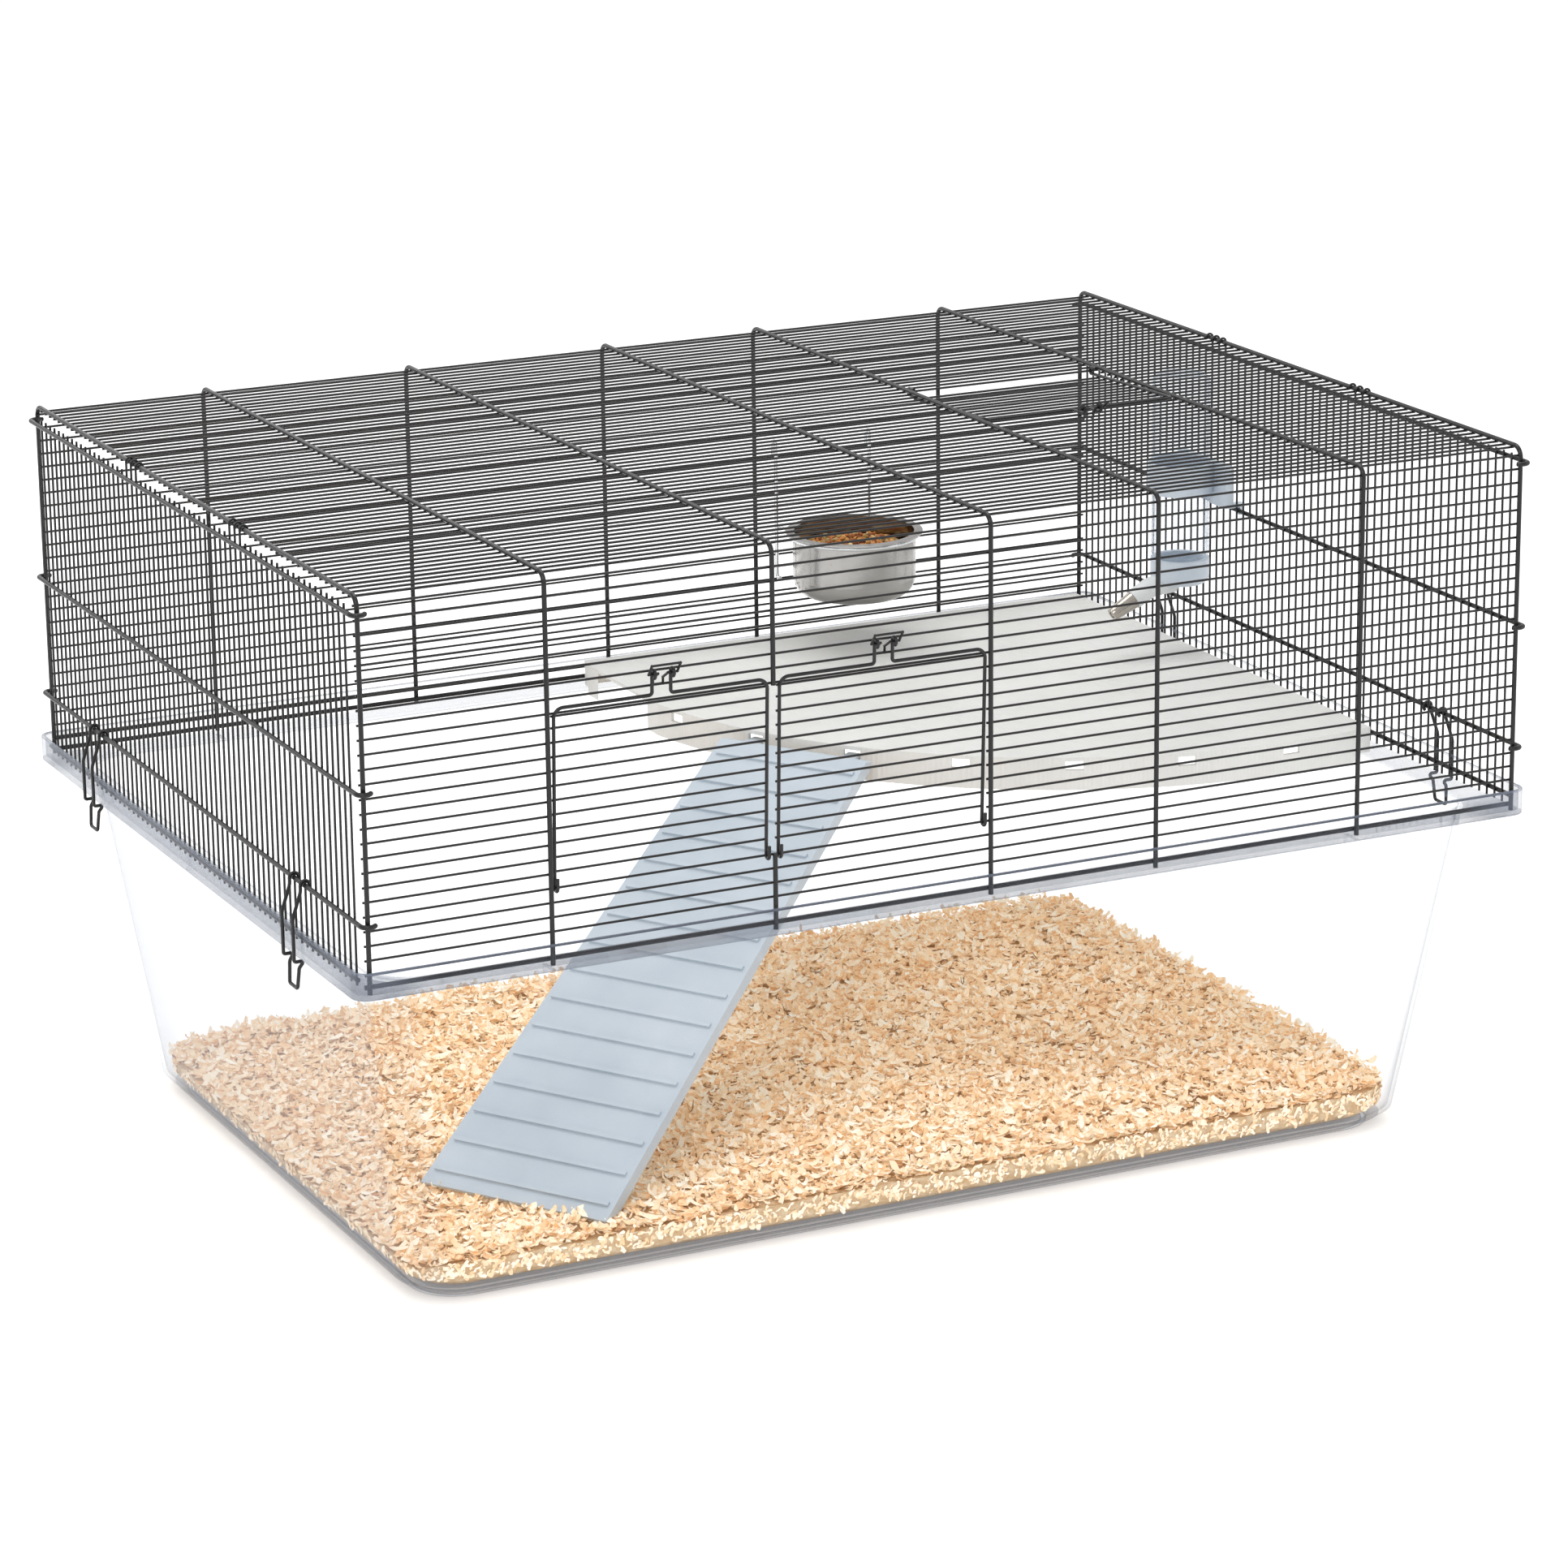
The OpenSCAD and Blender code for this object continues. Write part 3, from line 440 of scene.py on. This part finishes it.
def skin(name, loops, material, angle=35, close_ring=False):
    """A surface stretched over outlines that have the same number of points."""
    work = bmesh.new()
    rings = [[work.verts.new(Vector(p) * MM) for p in loop] for loop in loops]
    pairs = list(zip(rings, rings[1:])) + ([(rings[-1], rings[0])] if close_ring else [])
    for low, high in pairs:
        for i in range(len(low)):
            j = (i + 1) % len(low)
            work.faces.new((low[i], low[j], high[j], high[i]))
    if not close_ring:
        work.faces.new(rings[0])
        work.faces.new(rings[-1])
    bmesh.ops.remove_doubles(work, verts=work.verts, dist=0.00001)
    bmesh.ops.recalc_face_normals(work, faces=work.faces)
    mesh = bpy.data.meshes.new(name)
    work.to_mesh(mesh)
    work.free()
    smooth(mesh, angle)
    return add_mesh(name, mesh, material)


def turned(name, profile, centre, material, steps=96, angle=30):
    """A closed profile of (radius, height) spun round an upright line, in millimetres."""
    loops = []
    for radius, z in profile:
        loops.append([(centre[0] + max(radius, 0.001) * math.cos(2 * math.pi * i / steps),
                       centre[1] + max(radius, 0.001) * math.sin(2 * math.pi * i / steps), z)
                      for i in range(steps)])
    return skin(name, loops, material, angle)


def soften(piece, width, segments=3, angle=30):
    """Rounds a piece's sharp edges, as a mould does."""
    bevel = piece.modifiers.new("rounded", "BEVEL")
    bevel.width, bevel.segments = width * MM, segments
    bevel.limit_method, bevel.angle_limit = "ANGLE", math.radians(angle)
    settle(piece)
    smooth(piece.data, 40)


def settle(piece):
    """Turns a piece with its modifiers into one plain mesh."""
    done = bpy.data.meshes.new_from_object(piece.evaluated_get(bpy.context.evaluated_depsgraph_get()))
    piece.modifiers.clear()
    old, piece.data = piece.data, done
    bpy.data.meshes.remove(old)
    return piece


# ---- tub ----


def tub_outline(inset, z, radius, steps=16):
    return outline(TUB["half_x"] - inset, TUB["half_y"] - inset, radius, z, steps)


def make_tub(material):
    """The deep clear base: wall with draft, flange, upright lip and a foot ring."""
    t = TUB
    wall_in = t["rim"] + t["draft"]
    floor = t["foot"] + t["wall"]
    top, lip_top, under = t["height"], t["height"] + t["lip"], t["height"] - t["flange_t"]
    low_in = wall_in + t["bevel_w"]
    foot_in, foot_r = t["foot_in"], t["foot_r"]
    ring_in, ring_r = foot_in + t["foot_t"], foot_r - t["foot_t"]
    lip_in_r = t["lip_r"] - t["lip_t"]
    loops = [tub_outline(*place) for place in (
        (low_in + t["wall"] / 2, floor, foot_r),
        (wall_in + t["wall"], t["bevel"] + 1, t["wall_low_r"] - t["wall"]),
        (t["rim"] + t["wall"], top, t["wall_top_r"] - t["wall"]),
        (t["lip_t"], top, lip_in_r),
        (t["lip_t"], lip_top, lip_in_r),
        (0, lip_top, t["lip_r"]),
        (0, under, t["lip_r"]),
        (t["rim"], under, t["wall_top_r"]),
        (wall_in, t["bevel"], t["wall_low_r"]),
        (low_in, t["foot"], foot_r),
        (foot_in, t["foot"], foot_r),
        (foot_in, 0, foot_r),
        (ring_in, 0, ring_r),
        (ring_in, t["foot"], ring_r))]
    tub = skin("clear_tub", loops, material)
    soften(tub, 0.8, 3, 25)
    return tub


def make_lugs(material):
    """Four small stacking lugs under the rim."""
    work = bmesh.new()
    for end in (-1, 1):
        for side in (-1, 1):
            made = bmesh.ops.create_cube(work, size=1)["verts"]
            bmesh.ops.scale(work, verts=made, vec=Vector(LUG["size"]) * MM)
            bmesh.ops.translate(
                work, verts=made, vec=Vector((end * LUG["x"], side * LUG["y"], LUG["z"])) * MM)
    mesh = bpy.data.meshes.new("rim_lugs")
    work.to_mesh(mesh)
    work.free()
    lugs = add_mesh("rim_lugs", mesh, material)
    soften(lugs, 0.5, 2)
    return lugs


# ---- bedding ----


def bed_height(x, y):
    """Height of the litter, in millimetres: long waves, small heaps, a hollow under the ramp's foot
    and a bank of litter against it."""

    def hill(centre, height, spread):
        return height * math.exp(-((x - centre[0]) ** 2 + (y - centre[1]) ** 2) / spread ** 2)

    wave = 3 * (math.sin(math.radians(x * 0.9 + 40)) * math.cos(math.radians(y * 1.1))
                + 0.5 * math.sin(math.radians(x * 2.3 - y * 1.7)))
    hollow = hill(RAMP_FOOT, 3.5, 110) - hill(RAMP_BANK, 5, 34)
    heap = 2.6 * noise.noise(Vector((x, y, 3.0)) / 38) + 1.3 * noise.noise(Vector((x, y, 9.0)) / 15)
    return BED["top"] + wave - hollow + heap


def make_bed(material):
    """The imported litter: a lumpy top in rings, and sides that follow the tub's wall."""
    rings, steps = 34, 24
    loops = []
    for i in range(1, rings + 1):
        share = i / rings
        loop = outline(BED["half_x"] - 4, BED["half_y"] - 4, BED["radius"], 0, steps)
        loops.append([(x * share, y * share, bed_height(x * share, y * share)) for x, y, _ in loop])
    loops.append(outline(BED["half_x"] - 5, BED["half_y"] - 5, BED["radius"], 14, steps))
    loops.append(outline(BED["half_x"] - 12, BED["half_y"] - 12, BED["radius"] - 4, BED["low"], steps))
    return skin("packed_litter", loops, material, 60)


def curled_strip(name, rng, length, width, curl, twist, stations=5):
    """One shaving: a thin strip, ragged along its edges and rolled along its length."""
    work = bmesh.new()
    pairs = []
    for i in range(stations):
        t = i / (stations - 1)
        bend = curl * (t - 0.5)
        radius = length / curl
        x, z = radius * math.sin(bend), radius * (1 - math.cos(bend))
        half = width / 2 * (0.55 + 0.45 * math.sin(math.pi * t)) * rng.uniform(0.7, 1.15)
        slope = twist * (t - 0.5)
        side = Vector((0, half * math.cos(slope), half * math.sin(slope)))
        pairs.append([work.verts.new(Vector((x, 0, z)) + side * rng.uniform(0.8, 1.1)),
                      work.verts.new(Vector((x, 0, z)) - side * rng.uniform(0.8, 1.1))])
    for near, far in zip(pairs, pairs[1:]):
        work.faces.new((near[0], near[1], far[1], far[0]))
    mesh = bpy.data.meshes.new(name)
    work.to_mesh(mesh)
    work.free()
    mesh.shade_smooth()
    return bpy.data.objects.new(name, mesh)


def lump(name, rng, sides):
    """One piece of dry food."""
    work = bmesh.new()
    bmesh.ops.create_icosphere(work, subdivisions=1, radius=0.5)
    for v in work.verts:
        v.co *= rng.uniform(0.85, 1.1)
        v.co = Vector((v.co.x * sides[0], v.co.y * sides[1], v.co.z * sides[2]))
    mesh = bpy.data.meshes.new(name)
    work.to_mesh(mesh)
    work.free()
    mesh.shade_smooth()
    return bpy.data.objects.new(name, mesh)


def strew(name, ground, shapes, material, sizes, seed):
    """Strews small shapes over a mesh. The tree's inputs are its sizes:
    Density per square metre, Tilt in radians, Smallest and Largest scale, Lift off the ground."""
    shelf = bpy.data.collections.new(name + "_shapes")
    for shape in shapes:
        shelf.objects.link(shape)
    group = bpy.data.node_groups.new(name, "GeometryNodeTree")
    group.interface.new_socket("Geometry", in_out="OUTPUT", socket_type="NodeSocketGeometry")
    group.interface.new_socket("Geometry", in_out="INPUT", socket_type="NodeSocketGeometry")
    inputs = {}
    for key in sizes:
        inputs[key] = group.interface.new_socket(key, in_out="INPUT", socket_type="NodeSocketFloat").identifier
    inputs["Seed"] = group.interface.new_socket("Seed", in_out="INPUT", socket_type="NodeSocketInt").identifier
    g = Tree(group)
    ground_in = g.node("NodeGroupInput", give="Geometry")
    size = {key: g.also(ground_in, key) for key in inputs}
    points = g.node("GeometryNodeDistributePointsOnFaces", {"distribute_method": "RANDOM"},
                    {"Mesh": ground_in, "Density": size["Density"], "Seed": size["Seed"]}, "Points")
    aligned = g.also(points, "Rotation")

    def scatter(low, high, shift, kind="FLOAT_VECTOR"):
        keys = ("Min", "Max", "Value") if kind == "FLOAT_VECTOR" else ("Min_001", "Max_001", "Value_001")
        return g.node("FunctionNodeRandomValue", {"data_type": kind},
                      {keys[0]: low, keys[1]: high, "Seed": size["Seed"] + shift}, keys[2])

    tilt = g.node("ShaderNodeVectorMath", {"operation": "MULTIPLY"},
                  {0: scatter((-1.0, -1.0, -math.pi), (1.0, 1.0, math.pi), 1),
                   1: g.node("ShaderNodeCombineXYZ", None, {0: size["Tilt"], 1: size["Tilt"], 2: 1.0})})
    turned_by = g.node("FunctionNodeRotateRotation", {"rotation_space": "LOCAL"},
                       {0: aligned, 1: tilt})
    grown = scatter(size["Smallest"], size["Largest"], 2, "FLOAT")
    raised = g.node("GeometryNodeSetPosition", None,
                    {"Geometry": points,
                     "Offset": g.node("ShaderNodeCombineXYZ", None,
                                      {2: scatter(0.0, size["Lift"], 3, "FLOAT")})})
    stock = g.node("GeometryNodeCollectionInfo", None,
                   {"Collection": shelf, "Separate Children": True, "Reset Children": True})
    placed = g.node("GeometryNodeInstanceOnPoints", None,
                    {"Points": raised, "Instance": stock, "Pick Instance": True,
                     "Rotation": turned_by, "Scale": grown})
    toned = g.node("GeometryNodeStoreNamedAttribute", {"data_type": "FLOAT", "domain": "INSTANCE"},
                   {"Geometry": placed, "Name": "shade", "Value": scatter(0.0, 1.0, 4, "FLOAT")})
    real = g.node("GeometryNodeRealizeInstances", None, {"Geometry": toned})
    made = g.node("GeometryNodeSetMaterial", None, {"Geometry": real, "Material": material})
    out = group.nodes.new("NodeGroupOutput")
    group.links.new(made.socket, out.inputs[0])

    piece = bpy.data.objects.new(name, ground.data.copy())
    bpy.context.scene.collection.objects.link(piece)
    spread = piece.modifiers.new("strewn", "NODES")
    spread.node_group = group
    for key, value in sizes.items():
        spread[inputs[key]] = float(value)
    spread[inputs["Seed"]] = seed
    settle(piece)
    piece.data.materials.clear()
    piece.data.materials.append(material)
    for shape in shapes:
        bpy.data.objects.remove(shape)
    bpy.data.collections.remove(shelf)
    return piece


def strips(rng, count, long, wide, curl, twist):
    return [curled_strip(f"strip_{i}", rng, rng.uniform(*long) * MM, rng.uniform(*wide) * MM,
                         rng.uniform(*curl), rng.uniform(-twist, twist)) for i in range(count)]


def part_of(ground, name, keep):
    """A copy of a mesh with only the faces whose normal passes the test."""
    mesh = ground.data.copy()
    work = bmesh.new()
    work.from_mesh(mesh)
    bmesh.ops.delete(work, geom=[f for f in work.faces if not keep(f.normal, f.calc_center_median())],
                     context="FACES")
    work.to_mesh(mesh)
    work.free()
    return bpy.data.objects.new(name, mesh)


def make_shavings(bed, material, stalk):
    rng = random.Random(11)
    top = part_of(bed, "top_ground", lambda n, c: n.z > 0.6)
    inner = part_of(top, "inner_ground", lambda n, c: abs(c.x) < INNER[0] and abs(c.y) < INNER[1])
    side = part_of(bed, "side_ground", lambda n, c: abs(n.z) < 0.6 and c.z > 0.009)
    pieces = [
        strew("shavings_broad", inner, strips(rng, 8, (9, 16), (4, 7.5), (0.4, 1.6), 0.7), material,
              {"Density": 40000, "Tilt": 0.26, "Smallest": 0.55, "Largest": 1.1, "Lift": 0.006}, 3),
        strew("shavings_curled", inner, strips(rng, 8, (8, 13), (3.0, 5.2), (1.4, 3.6), 1.4), material,
              {"Density": 38000, "Tilt": 0.5, "Smallest": 0.55, "Largest": 1.1, "Lift": 0.008}, 5),
        strew("shavings_fine", top, strips(rng, 6, (5, 9), (2.2, 4.0), (0.8, 3.0), 1.2), material,
              {"Density": 42000, "Tilt": 0.45, "Smallest": 0.5, "Largest": 1.1, "Lift": 0.005}, 8),
        strew("shavings_edge", side, strips(rng, 6, (6, 10), (2.6, 4.6), (0.3, 0.9), 0.3), material,
              {"Density": 110000, "Tilt": 0.2, "Smallest": 0.5, "Largest": 1.0, "Lift": 0.0}, 9),
        strew("dry_stalks", inner, strips(rng, 5, (22, 46), (0.7, 1.2), (0.8, 3.0), 0.8), stalk,
              {"Density": 150, "Tilt": 0.5, "Smallest": 0.5, "Largest": 1.0, "Lift": 0.007}, 21)]
    for ground in (top, inner, side):
        bpy.data.objects.remove(ground)
    return pieces


# ---- food ----


def make_food(material):
    """A heap of mixed pieces lying in the bowl."""
    low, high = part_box("food")
    centre = (low + high) / 2
    mound = turned("food_ground", [(41, high.z / MM - 9), (30, high.z / MM - 5), (16, high.z / MM - 3),
                                   (0.4, high.z / MM - 2.4)],
                   (centre.x / MM, centre.y / MM), material, 48, 60)
    ground = part_of(mound, "food_top", lambda n, c: n.z > 0.3)
    rng = random.Random(5)
    shapes = [lump(f"lump_{i}", rng, [s * MM for s in sides]) for i, sides in enumerate(
        [(8, 4.5, 4), (6, 6, 3.4), (5, 5, 5), (9, 3.4, 3.4), (7, 5.5, 2.6), (6.5, 4, 4)])]
    heap = strew("food_heap", ground, shapes, material,
                 {"Density": 82000, "Tilt": 0.7, "Smallest": 0.6, "Largest": 1.05, "Lift": 0.003}, 4)
    bpy.data.objects.remove(ground)
    mound.name = "food_bed"
    return heap, mound


# ---- bottle ----


def make_bottle(material):
    """A clear bottle with fine ribs round it, standing on its neck in the cap."""
    low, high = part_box("bottle_body")
    centre = ((low.x + high.x) / 2 / MM, (low.y + high.y) / 2 / MM)
    foot, top = low.z / MM, high.z / MM
    radius, wall, neck, dome = (BOTTLE[key] for key in ("radius", "wall", "neck", "dome"))
    start = foot + BOTTLE["neck_h"]
    outer = [(neck, foot), (neck, start), (neck + 1.6, start + 0.6), (radius - 0.8, start + 2.2),
             (radius, start + 3.6)]
    groove = radius - BOTTLE["rib"]
    z = start + 8
    while z < top - 12:
        outer += [(radius, z), (groove, z + 1.1), (groove, z + 2.0), (radius, z + 3.1)]
        z += BOTTLE["rib_step"]
    for i in range(7):
        a = math.radians(90 * i / 6)
        outer.append((radius - dome + dome * math.cos(a), top - dome + dome * math.sin(a)))
    outer.append((0.2, top))
    inner = [(max(r - wall, 0.1), min(max(z, foot), top - wall)) for r, z in reversed(outer)]
    return turned("clear_bottle", outer + inner, centre, material, 96, 50)


# ---- put it together ----

place_camera()
light_studio()

# bands of painted shade for the refraction lines along the rim and foot, partly the plastic's own tint
tub_tint_and_shade_edges = [
    (0.2188, 0.2365, 0.03),  # the whole rim
    (0.2348, 0.2365, 0.36),  # the top of its lip
    (0.2190, 0.2204, 0.28),  # and its underside
    (0.0, 0.0055, 0.10),  # the foot ring
    (-0.001, 0.0009, 0.25),  # its lower edge
    (0.0042, 0.0058, 0.22),  # and its upper edge
]
# the grey-blue edge colour and the corner cover are painted shade for the refraction lines in the clear tub
tub_plastic = clear_moulding(
    "tub_plastic", (0.996, 0.998, 1, 1), srgb(112, 120, 136), least=0.010, most=0.70, steepness=4.8,
    haze=0.006, tint_and_shade_bands=tub_tint_and_shade_edges, corner=(0.322, 0.210, 0.20))
# the bottle's pale edge colour is painted shade where its clear sides turn away
bottle_plastic = clear_moulding(
    "bottle_plastic", (0.992, 0.996, 1, 1), srgb(196, 206, 218), least=0.025, most=0.8, steepness=3.2,
    haze=0.06)
shaving, litter, stalk = wood_shaving(), packed_litter(), dry_stalk()

FINISHES = {
    "black_wire": black_coating(),
    "platform": platform_plastic(),
    "ramp": moulded("ramp_plastic", srgb(176, 187, 197), srgb(192, 201, 209), 0.34, 1500, 0.0004, 14),
    "bowl_steel": spun_steel(),
    "bright_wire": bright_plating("bright_plating", (0.82, 0.83, 0.85, 1), 0.08),
    "cap": moulded("cap_plastic", srgb(190, 200, 211), srgb(206, 214, 222), 0.3, 1200, 0.0003),
    "elbow": moulded("elbow_plastic", srgb(205, 208, 209), srgb(220, 222, 222), 0.36, 1400, 0.0003),
    "spout_steel": bright_plating("spout_steel", (0.50, 0.46, 0.41, 1), 0.2),
}
NODE_FINISH = {
    "platform": "platform", "ramp": "ramp", "food_bowl": "bowl_steel", "bowl_holder": "bright_wire",
    "bottle_cap": "cap", "bottle_bracket": "cap", "spout_elbow": "elbow", "spout_tube": "spout_steel",
    "spout_ball": "spout_steel",
}
for name, node in nodes.items():
    finish = FINISHES[NODE_FINISH.get(name, "black_wire")]
    for holder in node.material_slots:
        holder.material = finish

tub = make_tub(tub_plastic)
lugs = make_lugs(tub_plastic)
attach(tub, "cage")
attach(lugs, "cage")
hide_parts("tub")

bed = make_bed(litter)
for piece in make_shavings(bed, shaving, stalk):
    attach(piece, "cage")
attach(bed, "cage")
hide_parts("bedding")

heap, mound = make_food(dry_food())
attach(heap, "bowl")
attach(mound, "bowl")
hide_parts("food")

bottle = make_bottle(bottle_plastic)
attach(bottle, "bottle")
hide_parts("bottle_body")

bpy.ops.mesh.primitive_plane_add(size=16, location=(0, 0, 0))
floor = bpy.context.object
floor.name = "floor"
floor.data.materials.append(studio_floor())
